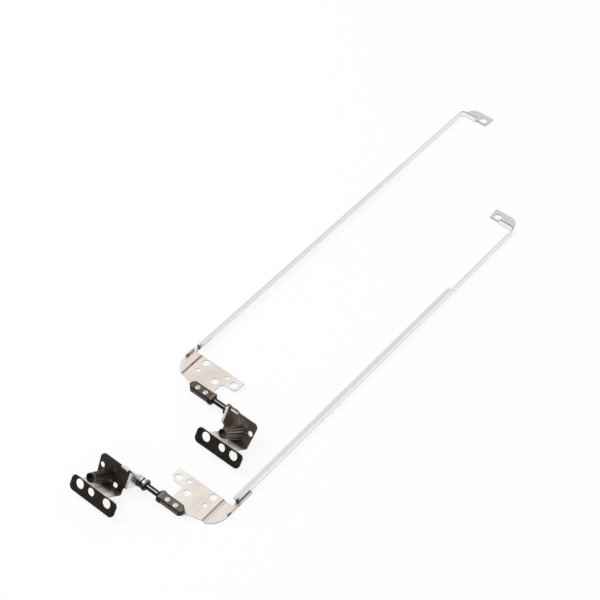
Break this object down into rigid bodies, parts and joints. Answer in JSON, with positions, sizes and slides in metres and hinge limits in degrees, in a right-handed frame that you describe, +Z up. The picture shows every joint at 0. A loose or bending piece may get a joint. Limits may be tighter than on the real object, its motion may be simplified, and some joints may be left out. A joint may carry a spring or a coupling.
{
  "type": "laptop hinge pair",
  "caption": "Left and right laptop display hinges: long folded lid rails with mounting plates, riveted friction shafts and black base brackets that turn about them.",
  "frame": {"origin": "middle of the pair's footprint, on the table it lies on", "axes": "+X along the shafts from the left hinge's rail towards the right hinge's, +Y along the rails towards their far tabs, +Z up from the table"},
  "size_m": [0.075, 0.3178, 0.0187],
  "materials": {
    "nickel_sheet": "nickel-plated sheet",
    "gunmetal_steel": "blackened, oiled",
    "rivet_steel": "bare, dull",
    "spring_steel": "tempered spring steel",
    "friction_ring": "hardened, greased",
    "bearing_steel": "bright zinc plate",
    "black_sheet": "black electrophoretic coat"
  },
  "bodies": {
    "lid_side": {"left_lid_bracket": "nickel_sheet", "left_shaft": "gunmetal_steel", "left_paddle_rivets": "rivet_steel", "left_pressure_washer": "gunmetal_steel", "left_disc_springs": "spring_steel", "left_front_friction_ring": "friction_ring", "left_rear_friction_ring": "friction_ring", "left_end_washer": "bearing_steel", "right_lid_bracket": "nickel_sheet", "right_shaft": "gunmetal_steel", "right_paddle_rivets": "rivet_steel", "right_pressure_washer": "gunmetal_steel", "right_disc_springs": "spring_steel", "right_front_friction_ring": "friction_ring", "right_rear_friction_ring": "friction_ring", "right_end_washer": "bearing_steel"},
    "left_base": {"left_base_bracket": "black_sheet", "left_bearing_bracket": "bearing_steel"},
    "right_base": {"right_base_bracket": "black_sheet", "right_bearing_bracket": "bearing_steel"}
  },
  "joints": [
    {"name": "left_hinge", "type": "hinge", "parent": "lid_side", "child": "left_base", "pos_m": [0.00415, -0.08208, 0.0035], "axis": [1, 0, 0], "range_deg": [-12, 122]},
    {"name": "right_hinge", "type": "hinge", "parent": "lid_side", "child": "right_base", "pos_m": [-0.00415, -0.13648, 0.0035], "axis": [1, 0, 0], "range_deg": [-12, 122]}
  ]
}
